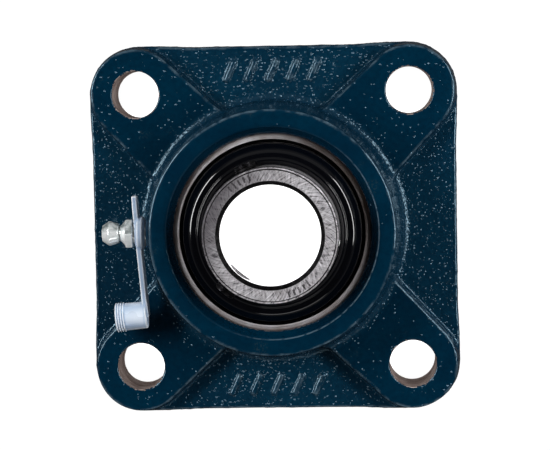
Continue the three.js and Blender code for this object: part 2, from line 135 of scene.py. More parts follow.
def value_noise(x, y, z, wavelength, offset=0.0):
    """Smooth noise between -1 and 1 that repeats only after 64 wavelengths."""
    cells, weights = [], []
    for c in (x, y, z):
        s = c / wavelength + offset
        low = np.floor(s)
        t = s - low
        cells.append(low.astype(np.int64) % LATTICE)
        weights.append(t * t * (3 - 2 * t))
    total = 0
    for corner in range(8):
        bits = [(corner >> k) & 1 for k in range(3)]
        index = [(cells[k] + bits[k]) % LATTICE for k in range(3)]
        share = 1
        for k in range(3):
            share = share * (weights[k] if bits[k] else 1 - weights[k])
        total = total + share * lattice_values[index[0], index[1], index[2]]
    return total


# ---- Meshing a distance field ----

CORNERS = [(corner >> 2 & 1, corner >> 1 & 1, corner & 1) for corner in range(8)]
CELL_EDGES = [(a, b) for a in range(8) for b in range(8)
              if b > a and bin(a ^ b).count("1") == 1]
MARGIN = 3  # cells of the grid beyond the given box


def sample_grid(field, axes):
    """The field on a grid of points, worked out slab by slab to save memory."""
    values = np.empty([len(a) for a in axes], np.float32)
    for k, z in enumerate(axes[2]):
        x, y = np.meshgrid(axes[0], axes[1], indexing="ij")
        values[:, :, k] = field(x, y, np.full_like(x, z))
    return values


def crossed_cells(values):
    """Cells that the surface crosses, and the mean of its crossings in each, in cells."""
    inside = values < 0
    nx, ny, nz = values.shape
    count = sum(inside[i:nx - 1 + i, j:ny - 1 + j, k:nz - 1 + k].astype(np.int8)
                for i, j, k in CORNERS)
    cells = np.argwhere((count > 0) & (count < 8))
    at_corner = [values[tuple((cells + corner).T)] for corner in CORNERS]
    total = np.zeros((len(cells), 3))
    hits = np.zeros(len(cells))
    for a, b in CELL_EDGES:
        va, vb = at_corner[a], at_corner[b]
        crosses = (va < 0) != (vb < 0)
        t = np.where(crosses, va / np.where(crosses, va - vb, 1), 0)
        start, end = np.array(CORNERS[a], float), np.array(CORNERS[b], float)
        total += np.where(crosses[:, None], start + t[:, None] * (end - start), 0)
        hits += crosses
    return cells, cells + total / hits[:, None]


def edge_quads(inside, ids):
    """A quad round each grid edge that the surface crosses, from the ids of its four cells."""
    quads = []
    for axis in range(3):
        u, v = (axis + 1) % 3, (axis + 2) % 3
        at = np.argwhere(np.diff(inside, axis=axis))
        at = at[(at[:, u] > 0) & (at[:, v] > 0)]
        around = []
        for du, dv in ((-1, -1), (0, -1), (0, 0), (-1, 0)):
            cell = at.copy()
            cell[:, u] += du
            cell[:, v] += dv
            around.append(ids[tuple(cell.T)])
        quad = np.stack(around, 1)
        outward = inside[tuple(at.T)]
        quads.append(np.where(outward[:, None], quad, quad[:, ::-1]))
    return np.concatenate(quads)


def surface_nets(field, low, high, step, projections=3):
    """Vertices and quads of the surface where the field is zero."""
    axes = [np.arange(low[k] - MARGIN * step, high[k] + MARGIN * step, step, dtype=np.float32)
            for k in range(3)]
    values = sample_grid(field, axes)
    cells, spots = crossed_cells(values)
    ids = np.full([n - 1 for n in values.shape], -1, np.int64)
    ids[tuple(cells.T)] = np.arange(len(cells))
    points = np.array([a[0] for a in axes]) + spots * step
    for _ in range(projections):
        points = project(field, points, step * 0.25)
    return points, edge_quads(values < 0, ids)


def gradient(field, points, step):
    x, y, z = points.T
    return np.stack([
        field(x + step, y, z) - field(x - step, y, z),
        field(x, y + step, z) - field(x, y - step, z),
        field(x, y, z + step) - field(x, y, z - step),
    ], 1) / (2 * step)


def project(field, points, step):
    """Moves points onto the zero surface along the field's slope."""
    slope = gradient(field, points, step)
    steepness = np.maximum((slope ** 2).sum(1), 0.2)
    shift = field(*points.T) / steepness
    shift = np.clip(shift, -2 * step, 2 * step)
    return points - slope * shift[:, None]


def make_object(name, points, faces, sharp_angle=None):
    """A smooth-shaded mesh object from millimetre points."""
    mesh = bpy.data.meshes.new(name)
    mesh.from_pydata([tuple(p) for p in (np.asarray(points) * MM).tolist()], [], list(faces))
    finish_mesh(mesh, sharp_angle)
    return link(name, mesh)


def make_dense_object(name, points, quads):
    """The same for a large mesh of quads only."""
    mesh = bpy.data.meshes.new(name)
    mesh.vertices.add(len(points))
    mesh.vertices.foreach_set("co", (points * MM).astype(np.float32).ravel())
    mesh.loops.add(quads.size)
    mesh.loops.foreach_set("vertex_index", quads.astype(np.int32).ravel())
    mesh.polygons.add(len(quads))
    mesh.polygons.foreach_set("loop_start", np.arange(0, quads.size, 4, dtype=np.int32))
    finish_mesh(mesh, None)
    return link(name, mesh)


def finish_mesh(mesh, sharp_angle):
    mesh.update(calc_edges=True)
    mesh.validate()
    mesh.polygons.foreach_set("use_smooth", np.ones(len(mesh.polygons), bool))
    if sharp_angle is not None:
        mesh.set_sharp_from_angle(angle=math.radians(sharp_angle))


def link(name, data):
    made = bpy.data.objects.new(name, data)
    scene.collection.objects.link(made)
    return made


def assemble(piece, body, nodes, slot, *materials):
    """Puts a piece on its body in place of CAD nodes, with its materials."""
    for material in materials:
        piece.data.materials.append(material)
    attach(piece, body)
    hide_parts(*nodes)
    return piece


def mark_faces(piece, finish):
    """Gives each face the material whose number is in finish."""
    piece.data.polygons.foreach_set("material_index", finish.astype(np.int32))


# ---- Turned pieces ----

TURNED_SIDES = 288
CORNER_STEPS = 5


def rounded(outline):
    """A closed outline of (radius, height[, rounding]) corners as points with arcs.

    A support point on each side of an arc keeps the flats flat under smooth shading.
    """
    points = []
    count = len(outline)
    for i, corner in enumerate(outline):
        here = Vector(corner[:2])
        rounding = corner[2] if len(corner) > 2 else 0
        if rounding == 0:
            points.append(here)
            continue
        before = (Vector(outline[i - 1][:2]) - here)
        after = (Vector(outline[(i + 1) % count][:2]) - here)
        turn = before.angle(after)
        setback = min(rounding / math.tan(turn / 2), 0.45 * before.length, 0.45 * after.length)
        support = min(0.4 * rounding, 0.04 * min(before.length, after.length))
        before.normalize()
        after.normalize()
        start = here + before * setback
        end = here + after * setback
        points.append(start + before * support)
        for k in range(CORNER_STEPS + 1):
            t = k / CORNER_STEPS
            points.append(start * (1 - t) ** 2 + here * 2 * t * (1 - t) + end * t ** 2)
        points.append(end + after * support)
    return [(p.x, p.y) for p in points]


def arc(centre_r, centre_z, radius, start, end, steps):
    """Points of an arc in the (radius, height) plane, angles in degrees."""
    angles = [math.radians(start + (end - start) * i / steps) for i in range(steps + 1)]
    return [(centre_r + radius * math.cos(a), centre_z + radius * math.sin(a)) for a in angles]


def revolve(outline, sides=TURNED_SIDES):
    """Points and faces of a closed outline turned round the z axis."""
    area = sum(a[0] * b[1] - b[0] * a[1] for a, b in zip(outline, outline[1:] + outline[:1]))
    if area < 0:
        outline = outline[::-1]
    points, rings = [], []
    for r, z in outline:
        on_axis = r < 1e-6
        rings.append([len(points)] * sides if on_axis else
                     list(range(len(points), len(points) + sides)))
        for k in range(1 if on_axis else sides):
            angle = 2 * math.pi * k / sides
            points.append((r * math.cos(angle), r * math.sin(angle), z))
    faces = []
    for low, high in zip(rings, rings[1:] + rings[:1]):
        if low[0] == low[-1] and high[0] == high[-1]:
            continue
        for k in range(sides):
            n = (k + 1) % sides
            corners = [low[k], low[n], high[n], high[k]]
            faces.append([c for j, c in enumerate(corners) if c not in corners[:j]])
    return points, faces


def turned(name, outline, sides=TURNED_SIDES):
    return make_object(name, *revolve(rounded(outline), sides))


# ---- Housing ----

SIDE_DRAFT = 0.03  # inward lean of the outer walls, per millimetre of height
LUG_SLOPE = 0.16  # lean of the step from a lug down to a recess
LUG_FLARE = math.radians(2)
SHAPE_WAVE = 0.10  # unevenness of the rough casting
GRAIN_RISE = 0.13  # height of the sand grains left on the casting
MARK_RISE = 0.6
MARK_LENGTH = 6.2
MARK_WIDTH = 1.6
MARK_PITCH = 5.4
MARK_COUNT = 5
MARK_SLANT = math.radians(24)
MARK_OFFSET = 40.6


def plate_outline(x, y, z):
    """Distance to the square's walls, which stand back a little between the lugs."""
    ax, ay = np.abs(x), np.abs(y)
    along = np.minimum(ax, ay)
    inset = SIDE_RECESS * (1 - smooth_step(19, 31, along)) + SIDE_DRAFT * z
    return corner_distance(ax + inset - HOLE_OFFSET, ay + inset - HOLE_OFFSET) - LUG_RADIUS


def lug_side(x, y, z):
    """Distance to the side of the nearest lug, which runs along a diagonal."""
    ax, ay = np.abs(x), np.abs(y)
    along = (ax + ay) / math.sqrt(2)
    across = np.abs(ax - ay) / math.sqrt(2)
    reach = HOLE_OFFSET * math.sqrt(2)
    width = LUG_RADIUS - 0.4 + np.maximum(reach - along, 0) * math.tan(LUG_FLARE)
    straight = across - width
    end = np.hypot(along - reach, across) - (LUG_RADIUS - 0.4)
    return np.where(along < reach, straight, end) + LUG_SLOPE * (z - PLATE_TOP)


def cast_marks(x, y, z):
    """Plain slanted bars in the upper and lower recess."""
    row = np.abs(y) - MARK_OFFSET
    side = np.sign(y)
    place = np.clip(np.round(x / MARK_PITCH), -(MARK_COUNT // 2), MARK_COUNT // 2) * MARK_PITCH
    dx = x - place
    dy = row * side
    c, s = math.cos(MARK_SLANT), math.sin(MARK_SLANT)
    u = dx * c - dy * s
    v = dx * s + dy * c
    flat = corner_distance(np.abs(u) - MARK_WIDTH / 2 + MARK_EDGE,
                           np.abs(v) - MARK_LENGTH / 2 + MARK_EDGE) - MARK_EDGE
    return round_max(flat + 0.5 * (z - PLATE_TOP), z - PLATE_TOP - MARK_RISE, 0.25)


def cast_body(x, y, z):
    """The rough casting, before machining."""
    r = np.hypot(x, y)
    lug = round_max(z - LUG_TOP, lug_side(x, y, z), LUG_EDGE)
    top = round_min(z - PLATE_TOP, lug, LUG_FILLET)
    top = round_min(top, cast_marks(x, y, z), 0.3)
    body = round_max(plate_outline(x, y, z), top, PLATE_EDGE)
    lean = (BOSS_BASE_RADIUS - BOSS_TOP_RADIUS) / (BOSS_TOP - 0.6 - BOSS_BASE_HEIGHT)
    side = (r - BOSS_BASE_RADIUS + lean * (z - BOSS_BASE_HEIGHT)) * math.cos(math.atan(lean))
    boss = round_max(side, z - BOSS_TOP, BOSS_EDGE)
    body = round_min(body, boss, BOSS_FILLET)
    reach = np.hypot(y, z - NIPPLE_HEIGHT)
    face = NIPPLE_PAD_FACE - 0.75
    pad = round_max(reach - NIPPLE_PAD_RADIUS - 0.13 * (x + face),
                    both(-(x + face), x + 26), 0.35)
    return round_min(body, pad, PAD_FILLET)


def cast_texture(x, y, z):
    """How far the rough surface stands off its nominal shape."""
    r = np.hypot(x, y)
    waves = value_noise(x, y, z, 7.0, 3.3) + 0.6 * value_noise(x, y, z, 3.4, 9.1)
    grains = (np.maximum(value_noise(x, y, z, 1.7, 1.7) - 0.25, 0)
              + np.maximum(value_noise(x, y, z, 1.1, 5.9) - 0.3, 0))
    return SHAPE_WAVE * 0.5 * waves - GRAIN_RISE * grain_amount(r, z) * grains


def grain_amount(r, z):
    """1 on the floor of the recesses and the fillets, less on lugs, least on the boss face."""
    on_floor = 1 - smooth_step(PLATE_TOP + 0.5, LUG_TOP - 0.5, z)
    on_boss = smooth_step(LUG_TOP + 3, BOSS_TOP - 2, z)
    at_root = np.exp(-((r - 33.6) / 1.6) ** 2) * (1 - smooth_step(LUG_TOP + 1, LUG_TOP + 5, z))
    return np.clip(0.35 + 0.65 * on_floor - 0.25 * on_boss + 0.8 * at_root, 0.08, 1.3)


def seat_cavity(x, y, z):
    r = np.hypot(x, y)
    sphere = np.sqrt(r * r + (z - SEAT_CENTRE) ** 2) - SEAT_RADIUS
    throat = both(r - THROAT_RADIUS, z - SEAT_CENTRE)
    slope = (MOUTH_RADIUS - THROAT_RADIUS) / (BOSS_TOP - SEAT_TOP)
    mouth = (r - THROAT_RADIUS - slope * (z - SEAT_TOP)) * math.cos(math.atan(slope))
    return either(sphere, throat, both(mouth, SEAT_CENTRE - z))


def loading_slots(x, y, z):
    r = np.hypot(x, y)
    return both(np.abs(x) - SLOT_WIDTH / 2, r - SLOT_RADIUS, z - SEAT_CENTRE)


def bolt_holes(x, y, z):
    return np.hypot(np.abs(x) - HOLE_OFFSET, np.abs(y) - HOLE_OFFSET) - HOLE_RADIUS


def thread_hole(x, y, z):
    reach = np.hypot(y, z - NIPPLE_HEIGHT)
    thread = both(reach - THREAD_HOLE_RADIUS, x + NIPPLE_PAD_FACE - 5.3)
    drill = both(reach - 1.2, x + 20)
    return either(thread, drill)


def housing_field(x, y, z):
    body = cast_body(x, y, z) + cast_texture(x, y, z)
    body = round_max(body, -z, 0.3)
    body = round_max(body, -seat_cavity(x, y, z), 0.35)
    body = both(body, -loading_slots(x, y, z))
    body = round_max(body, -bolt_holes(x, y, z), 0.3)
    return both(body, -thread_hole(x, y, z))


def build_housing():
    step = 0.4
    points, quads = surface_nets(housing_field, HOUSING_LOW, HOUSING_HIGH, step)
    made = make_dense_object("housing_casting", points, quads)
    bend = bend_amount(cast_body, points, 0.7)
    grain = grain_amount(np.hypot(points[:, 0], points[:, 1]), points[:, 2])
    grain = grain * (1 - 0.5 * smooth_step(-1.2, -0.3, plate_outline(*points.T)))
    add_attribute(made, "grain", grain + 1.5 * np.clip(-bend - 0.2, 0, 0.5))
    add_attribute(made, "edge", np.clip(bend - 0.35, 0, 1))
    mark_faces(made, machined_amount(points[quads].mean(1)) > 0)
    return made


def add_attribute(piece, name, values):
    layer = piece.data.attributes.new(name, "FLOAT", "POINT")
    layer.data.foreach_set("value", values.astype(np.float32))


def bend_amount(field, points, reach):
    """How sharply a shape bends: above 0 on outside edges, below 0 in corners."""
    x, y, z = points.T
    bend = -6 * field(x, y, z)
    for dx, dy, dz in ((reach, 0, 0), (0, reach, 0), (0, 0, reach)):
        bend = bend + field(x + dx, y + dy, z + dz) + field(x - dx, y - dy, z - dz)
    return bend / reach


def machined_amount(centres):
    """Positive on the faces that a tool has cut: seat, bolt holes, slots and back."""
    x, y, z = centres.T
    ragged = 0.12 * value_noise(x, y, z, 1.1, 4.4)
    r = np.hypot(x, y)
    in_seat = 0.2 - np.abs(seat_cavity(x, y, z)) + np.where(z > SEAT_TOP, -1, 0)
    in_hole = 0.14 - np.abs(bolt_holes(x, y, z)) + ragged
    in_slot = np.where((r < SLOT_RADIUS + 0.2) & (z < SEAT_CENTRE + 0.2), 1.0, -1.0)
    at_back = 0.12 - z + 0.5 * ragged
    return reduce(np.maximum, (in_seat, in_hole, in_slot, at_back))


# ---- Rings, seals and flingers ----

BALL_COUNT = 9
BALL_RADIUS = 3.9
PITCH_RADIUS = 19.52
RACE_RADIUS = 4.03
OUTER_SPHERE = 25.95
OUTER_HALF = (OUTER_HIGH[2] - OUTER_LOW[2]) / 2
SEAL_SEAT = 22.65
SEAL_SEAT_DEPTH = 2.2
OUTER_BEVEL = 0.8
OUTER_STEP = 0.36
SHOULDER = 21.9
RING_RADIUS = INNER_HIGH[0]
BORE_RADIUS = 12.5
BORE_CHAMFER = 1.0
SCREW_ANGLES = (110, 230)
SCREW_HEIGHT = 30.8
SCREW_HOLE_RADIUS = 3.05
LEVEL = 0.93  # a face whose normal rises less than this is no end face


def mirrored(outline, side):
    """An outline given from the ball row upwards, placed above it or, mirrored, below it."""
    return [(r, SEAT_CENTRE + side * z, *rest) for r, z, *rest in outline]


def build_outer_ring():
    """The outer ring; its inner bevels and the small steps outside are material 1, near-black steel as
    painted shade.
    """
    w = OUTER_HALF
    edge = math.degrees(math.asin((w - 0.75) / OUTER_SPHERE))
    face = math.sqrt(OUTER_SPHERE ** 2 - w ** 2) - 0.65
    groove = 90 - math.degrees(math.asin((SHOULDER - PITCH_RADIUS) / RACE_RADIUS))
    depth = w - SEAL_SEAT_DEPTH
    half = [
        (face + 0.3, w - OUTER_STEP - 0.06, 0.06), (face, w - OUTER_STEP, 0.05), (face, w, 0.1),
        (SEAL_SEAT + OUTER_BEVEL, w, 0.1), (SEAL_SEAT, w - OUTER_BEVEL, 0.1),
        (SEAL_SEAT, depth, 0.1), (SHOULDER, depth, 0.1),
    ]
    ring = turned("outer_ring_fine", [
        *arc(0, SEAT_CENTRE, OUTER_SPHERE, -edge, edge, 40), *mirrored(half, 1),
        *arc(PITCH_RADIUS, SEAT_CENTRE, RACE_RADIUS, groove, -groove, 24),
        *mirrored(half[::-1], -1),
    ])
    x, y, z, rise = face_centres(ring)
    r = np.hypot(x, y)
    bevel = (r < SEAL_SEAT + OUTER_BEVEL) & (np.abs(z - SEAT_CENTRE) > depth) & (rise < LEVEL)
    step = (r > face - 0.02) & (r < face + 0.03) & (rise < 0.6)
    mark_faces(ring, bevel | step)
    return ring


def face_centres(piece):
    """Middle of each face, in millimetres, and how far its normal leans towards the z axis."""
    count = len(piece.data.polygons)
    centres, normals = np.empty(count * 3), np.empty(count * 3)
    piece.data.polygons.foreach_get("center", centres)
    piece.data.polygons.foreach_get("normal", normals)
    x, y, z = centres.reshape(-1, 3).T / MM
    return x, y, z, np.abs(normals.reshape(-1, 3)[:, 2])


def cut(piece, tools):
    """Cuts tool objects out of a piece, then removes them."""
    for tool in tools:
        modifier = piece.modifiers.new("cut", "BOOLEAN")
        modifier.operation = "DIFFERENCE"
        modifier.solver = "EXACT"
        modifier.object = tool
    graph = bpy.context.evaluated_depsgraph_get()
    result = bpy.data.meshes.new_from_object(piece.evaluated_get(graph))
    piece.modifiers.clear()
    old = piece.data
    piece.data = result
    bpy.data.meshes.remove(old)
    for tool in tools:
        bpy.data.objects.remove(tool)
    piece.data.set_sharp_from_angle(angle=math.radians(32))


def along_radius(piece, degrees, height):
    """Turns a piece made along +z so that it points outwards from the shaft."""
    place = (Matrix.Translation((0, 0, height * MM)) @ Matrix.Rotation(math.radians(degrees), 4, "Z")
             @ Matrix.Rotation(math.pi / 2, 4, "Y"))
    piece.data.transform(place)
    return piece


def build_inner_ring():
    low, high, c = INNER_LOW[2], INNER_HIGH[2], SEAT_CENTRE
    groove = math.degrees(math.acos((PITCH_RADIUS - RING_RADIUS) / RACE_RADIUS))
    # Points along the walls keep their shading even round the cut holes.
    walls = [high - 1.1 - i * 0.55 for i in range(1, 20)]
    # (inset, depth, rounding) of the small step that leads from each end face to the wall.
    shoulder = [(0.84, 0, 0.05), (0.58, 0.36, 0.05), (0.16, 0.44, 0.1), (0, 0.75, 0.1)]
    outline = [
        (BORE_RADIUS, low + BORE_CHAMFER, 0.12), (BORE_RADIUS + BORE_CHAMFER, low, 0.12),
        *[(RING_RADIUS - inset, low + depth, bend) for inset, depth, bend in shoulder],
        *arc(PITCH_RADIUS, c, RACE_RADIUS, 180 + groove, 180 - groove, 24),
        *[(RING_RADIUS, z) for z in reversed(walls)],
        *[(RING_RADIUS - inset, high - depth, bend) for inset, depth, bend in shoulder[::-1]],
        (BORE_RADIUS + BORE_CHAMFER, high, 0.12), (BORE_RADIUS, high - BORE_CHAMFER, 0.12),
        *[(BORE_RADIUS, z) for z in walls],
    ]
    ring = turned("inner_ring_fine", outline)
    tools = []
    for degrees in SCREW_ANGLES:
        hole = turned("screw_hole_tool", [
            (0, 6), (SCREW_HOLE_RADIUS, 6), (SCREW_HOLE_RADIUS, RING_RADIUS - 0.35),
            (SCREW_HOLE_RADIUS + 1.6, RING_RADIUS + 1.4), (0, RING_RADIUS + 1.4)], 72)
        tools.append(along_radius(hole, degrees, SCREW_HEIGHT))
    cut(ring, tools)
    mark_ring_faces(ring)
    return ring


def mark_ring_faces(ring):
    """Gives the end chamfers material 1, near-black steel as painted shade, and the bore material 2."""
    x, y, z, rise = face_centres(ring)
    from_end = np.minimum(z - INNER_LOW[2], INNER_HIGH[2] - z)
    chamfered = (from_end < BORE_CHAMFER) & (rise > 0.05) & (rise < LEVEL)
    in_bore = (np.hypot(x, y) < BORE_RADIUS + 0.05) & ~chamfered
    mark_faces(ring, np.where(chamfered, 1, 2 * in_bore))


FLINGER_INNER = 17.12
FLINGER_RIM = 22.35
FLINGER_TOP = 11.2  # heights here are above the ball row
FLINGER_THICKNESS = 0.7
FLINGER_BEAD = 0.35  # rise of the bead round the hub
SHROUD_INNER = 18.8
SHROUD_OUTER = 22.5
SHROUD_BOTTOM = 6.55
SHROUD_RIM = 8.05
SHROUD_THICKNESS = 0.6
LIP_INNER = 17.15
SEAL_SIDES = 144


def build_with_rim(name, outline, sides, rim_start):
    """A turned piece whose faces outside rim_start are material 1."""
    piece = turned(name, outline, sides)
    x, y, _, _ = face_centres(piece)
    mark_faces(piece, np.hypot(x, y) > rim_start)
    return piece


def build_flinger(end, side):
    """A pressed disc with a beaded hub, a shallow dish and a turned-down rim, dull at its cut."""
    inner, rim, top, t = FLINGER_INNER, FLINGER_RIM, FLINGER_TOP, FLINGER_THICKNESS
    bead = top + FLINGER_BEAD
    outline = [
        (inner, 8.1), (inner + t, 8.1), (inner + t, top - t, 0.2), (20.1, top - t, 0.5),
        (rim - 0.55, 9.0), (rim - 0.55, 8.4), (rim, 8.4, 0.15), (rim, 9.3, 0.1),
        (20.4, top, 2.8), (18.95, top, 0.2), (18.55, bead, 0.4), (17.95, bead, 0.4),
        (17.6, top, 0.2), (inner, top, 0.1),
    ]
    return build_with_rim(f"flinger_{end}_fine", mirrored(outline, side), TURNED_SIDES, rim - 0.2)


def build_shroud(end, side):
    """The seal's steel shroud; its rim, in the gap beside the flinger, is near-black as painted shade.
    """
    inner, outer, low, t = SHROUD_INNER, SHROUD_OUTER, SHROUD_BOTTOM, SHROUD_THICKNESS
    outline = [
        (inner, low, 0.1), (outer, low, 0.4), (outer, SHROUD_RIM, 0.1),
        (outer - t, SHROUD_RIM, 0.1), (outer - t, low + t, 0.15), (inner, low + t, 0.1),
    ]
    return build_with_rim(f"shroud_{end}_fine", mirrored(outline, side), SEAL_SIDES, outer - 0.8)


def build_lip(end, side):
    """The rubber lip between the shroud and the inner ring."""
    outline = [
        (LIP_INNER, 6.25, 0.1), (17.9, 6.3, 0.15), (18.7, 6.55), (18.7, 7.15), (17.9, 7.4, 0.2),
        (17.7, 7.95, 0.15), (LIP_INNER, 7.95, 0.12),
    ]
    return turned(f"lip_{end}_fine", mirrored(outline, side), SEAL_SIDES)


def ball_outline(height, radius, steps):
    """Half a circle with both ends exactly on the axis."""
    outline = arc(0, height, radius, -90, 90, steps)
    outline[0] = (0, height - radius)
    outline[-1] = (0, height + radius)
    return outline


def put_on_pitch_circle(piece, spacings):
    """Moves a piece along the pitch circle by a number of ball spacings."""
    angle = 2 * math.pi * spacings / BALL_COUNT
    place = (PITCH_RADIUS * math.cos(angle), PITCH_RADIUS * math.sin(angle), SEAT_CENTRE)
    piece.data.transform(Matrix.Translation(Vector(place) * MM))
    return piece


def build_ball(index):
    ball = turned(f"bearing_ball_{index + 1}", ball_outline(0, BALL_RADIUS, 32), 64)
    return put_on_pitch_circle(ball, index)


# ---- Cage ----

CAGE_INNER = 18.3
CAGE_OUTER = 20.7
CAGE_THICKNESS = 0.7
CAGE_GAP = 0.1
POCKET_RADIUS = 4.2
POCKET_STEPS = 20
RIVET_RADIUS = 0.5
RIVET_HEAD = 1.05
RIVET_HEAD_HEIGHT = 0.5


def pocket_path():
    """(distance along the pitch circle, height, outward direction) along one pocket."""
    half = math.pi * PITCH_RADIUS / BALL_COUNT
    start = math.asin(CAGE_GAP / POCKET_RADIUS) + 0.28
    path = [(-half, CAGE_GAP, (0, 1)), (-half + 1.0, CAGE_GAP, (0, 1))]
    for i in range(POCKET_STEPS + 1):
        angle = math.pi - start - (math.pi - 2 * start) * i / POCKET_STEPS
        c, s = math.cos(angle), math.sin(angle)
        path.append((POCKET_RADIUS * c, POCKET_RADIUS * s, (c, s)))
    path.append((half - 1.0, CAGE_GAP, (0, 1)))
    return path


def build_cage_half(side):
    """A pressed ribbon that waves round the balls."""
    section = [(0, 0), (1, 0), (1, 1), (0, 1)]
    points, count = [], 0
    for ball in range(BALL_COUNT):
        for s, z, (ns, nz) in pocket_path():
            for across, up in section:
                along = s + up * CAGE_THICKNESS * ns
                height = z + up * CAGE_THICKNESS * nz
                angle = 2 * math.pi * ball / BALL_COUNT + along / PITCH_RADIUS
                r = CAGE_INNER + across * (CAGE_OUTER - CAGE_INNER)
                points.append((r * math.cos(angle), r * math.sin(angle),
                               SEAT_CENTRE + side * height))
            count += 1
    faces = []
    for i in range(count):
        here, there = 4 * i, 4 * ((i + 1) % count)
        for k in range(4):
            n = (k + 1) % 4
            face = [here + k, there + k, there + n, here + n]
            faces.append(face if side > 0 else face[::-1])
    name = "cage_ribbon_front" if side > 0 else "cage_ribbon_back"
    half = make_object(name, points, faces)
    edge = half.modifiers.new("edges", "BEVEL")
    edge.width = 0.12 * MM
    edge.segments = 2
    edge.limit_method = "ANGLE"
    edge.angle_limit = math.radians(50)
    return half


def build_rivet(index):
    under = CAGE_GAP + CAGE_THICKNESS + 0.02
    top = under + RIVET_HEAD_HEIGHT
    outline = [
        (0, -top), (RIVET_HEAD, -top, 0.35), (RIVET_HEAD, -under), (RIVET_RADIUS, -under),
        (RIVET_RADIUS, under), (RIVET_HEAD, under), (RIVET_HEAD, top, 0.35), (0, top),
    ]
    return put_on_pitch_circle(turned(f"cage_rivet_fine_{index + 1}", outline, 32), index + 0.5)


# ---- Small pieces ----

def hexagon(x, y, across_flats):
    """Distance to a hexagonal prism along z."""
    x, y = np.abs(x), np.abs(y)
    return both(y, x * math.cos(math.pi / 6) + y * math.sin(math.pi / 6)) - across_flats / 2


SCREW_TIP = 12.9
SCREW_HEAD = 18.7
SCREW_PITCH = 0.75
SCREW_RADIUS = 2.88
SOCKET_ACROSS = 3.0
SOCKET_DEPTH = 2.6
HALF_ROOT = math.sqrt(0.5)


def set_screw_field(x, y, z):
    """A set screw along z, from its cup point to its socket."""
    r = np.hypot(x, y)
    turn = np.arctan2(y, x) / (2 * math.pi)
    thread = np.abs((z / SCREW_PITCH - turn) % 1 - 0.5) * 2
    body = (r - SCREW_RADIUS + 0.32 * thread) * 0.85
    body = both(body, (r + z - SCREW_HEAD - SCREW_RADIUS + 0.35) * HALF_ROOT,
                (r - z + SCREW_TIP - SCREW_RADIUS + 0.9) * HALF_ROOT)
    body = round_max(body, both(z - SCREW_HEAD, SCREW_TIP - z), 0.08)
    socket = both(hexagon(x, y, SOCKET_ACROSS), SCREW_HEAD - SOCKET_DEPTH - z)
    chamfer = (r - (z - SCREW_HEAD) - 1.95) * HALF_ROOT
    cup = (r + (z - SCREW_TIP) - 1.4) * HALF_ROOT
    body = round_max(body, -either(socket, chamfer), 0.06)
    return both(body, -cup)


def build_set_screw(index):
    step = 0.11
    reach = SCREW_RADIUS + 0.2
    points, quads = surface_nets(set_screw_field, (-reach, -reach, SCREW_TIP),
                                 (reach, reach, SCREW_HEAD), step, 2)
    made = make_dense_object(f"set_screw_fine_{index + 1}", points, quads)
    return along_radius(made, SCREW_ANGLES[index], SCREW_HEIGHT)


def along_nipple(piece):
    """Moves a piece made along +z so that it points out of the housing along the nipple."""
    place = (Matrix.Translation((-NIPPLE_PAD_FACE * MM, 0, NIPPLE_HEIGHT * MM))
             @ Matrix.Rotation(-math.pi / 2, 4, "Y"))
    piece.data.transform(place)
    return piece


NIPPLE_THREAD = 2.6  # radii of the nipple, and its lengths from the nominal pad face
NIPPLE_NECK = 1.95
NIPPLE_HEAD = 3.2
VALVE_BORE = 1.25
VALVE_MOUTH = 0.75
FEED_RADIUS = 0.8
NIPPLE_FOOT = -5
HEX_START = 2.85
HEX_END = 4.65
HEAD_START = 6.5
HEAD_WIDEST = 8.85
BORE_END = 9.2
NIPPLE_TIP = 10.7


def cone_between(r, z, r0, z0, r1, z1):
    """Distance to the cone through (r0, z0) and (r1, z1), negative towards the axis."""
    slope = (r1 - r0) / (z1 - z0)
    return (r - r0 - slope * (z - z0)) / math.sqrt(1 + slope * slope)


def within(z, low, high):
    """Distance to the slab between two heights."""
    return both(low - z, z - high)


def nipple_field(x, y, z):
    """A grease nipple along z, from the end of its thread to its tip."""
    r = np.hypot(x, y)
    shank = both(r - NIPPLE_THREAD, within(z, NIPPLE_FOOT, 3))
    hexagonal = round_max(hexagon(x, y, 7.0), within(z, HEX_START, HEX_END), 0.12)
    hexagonal = both(hexagonal, cone_between(r, z, 3.75, HEX_START, 4.35, 3.2))
    cone = both(cone_between(r, z, 3.5, 4.6, 2.15, 5.8), within(z, 4.6, 6.2))
    neck = both(r - NIPPLE_NECK, within(z, 3, 8))
    flare = cone_between(r, z, 2.5, 6.55, NIPPLE_HEAD, HEAD_WIDEST)
    nose = cone_between(r, z, NIPPLE_HEAD, HEAD_WIDEST, 2.0, NIPPLE_TIP)
    head = round_max(round_max(flare, nose, 0.2), within(z, HEAD_START, NIPPLE_TIP), 0.22)
    body = round_min(either(shank, hexagonal, cone), neck, 0.12)
    body = round_min(body, head, 0.12)
    bore = both(r - VALVE_BORE, within(z, 1.4, BORE_END))
    seat = both(cone_between(r, z, VALVE_BORE, BORE_END, VALVE_MOUTH, 9.7), within(z, BORE_END, 9.7))
    feed = both(r - FEED_RADIUS, z - 1.5)
    mouth = both(r - VALVE_MOUTH, 9.6 - z)
    return round_max(body, -either(bore, seat, feed, mouth), 0.08)


def build_nipple():
    step = 0.12
    reach = 4.2
    points, quads = surface_nets(nipple_field, (-reach, -reach, NIPPLE_FOOT),
                                 (reach, reach, NIPPLE_TIP), step)
    return along_nipple(make_dense_object("grease_nipple_fine", points, quads))


CHECK_BALL_AT = 9.0
CHECK_BALL_RADIUS = 1.0


def build_check_ball():
    outline = ball_outline(CHECK_BALL_AT, CHECK_BALL_RADIUS, 24)
    return along_nipple(turned("check_ball_fine", outline, 48))


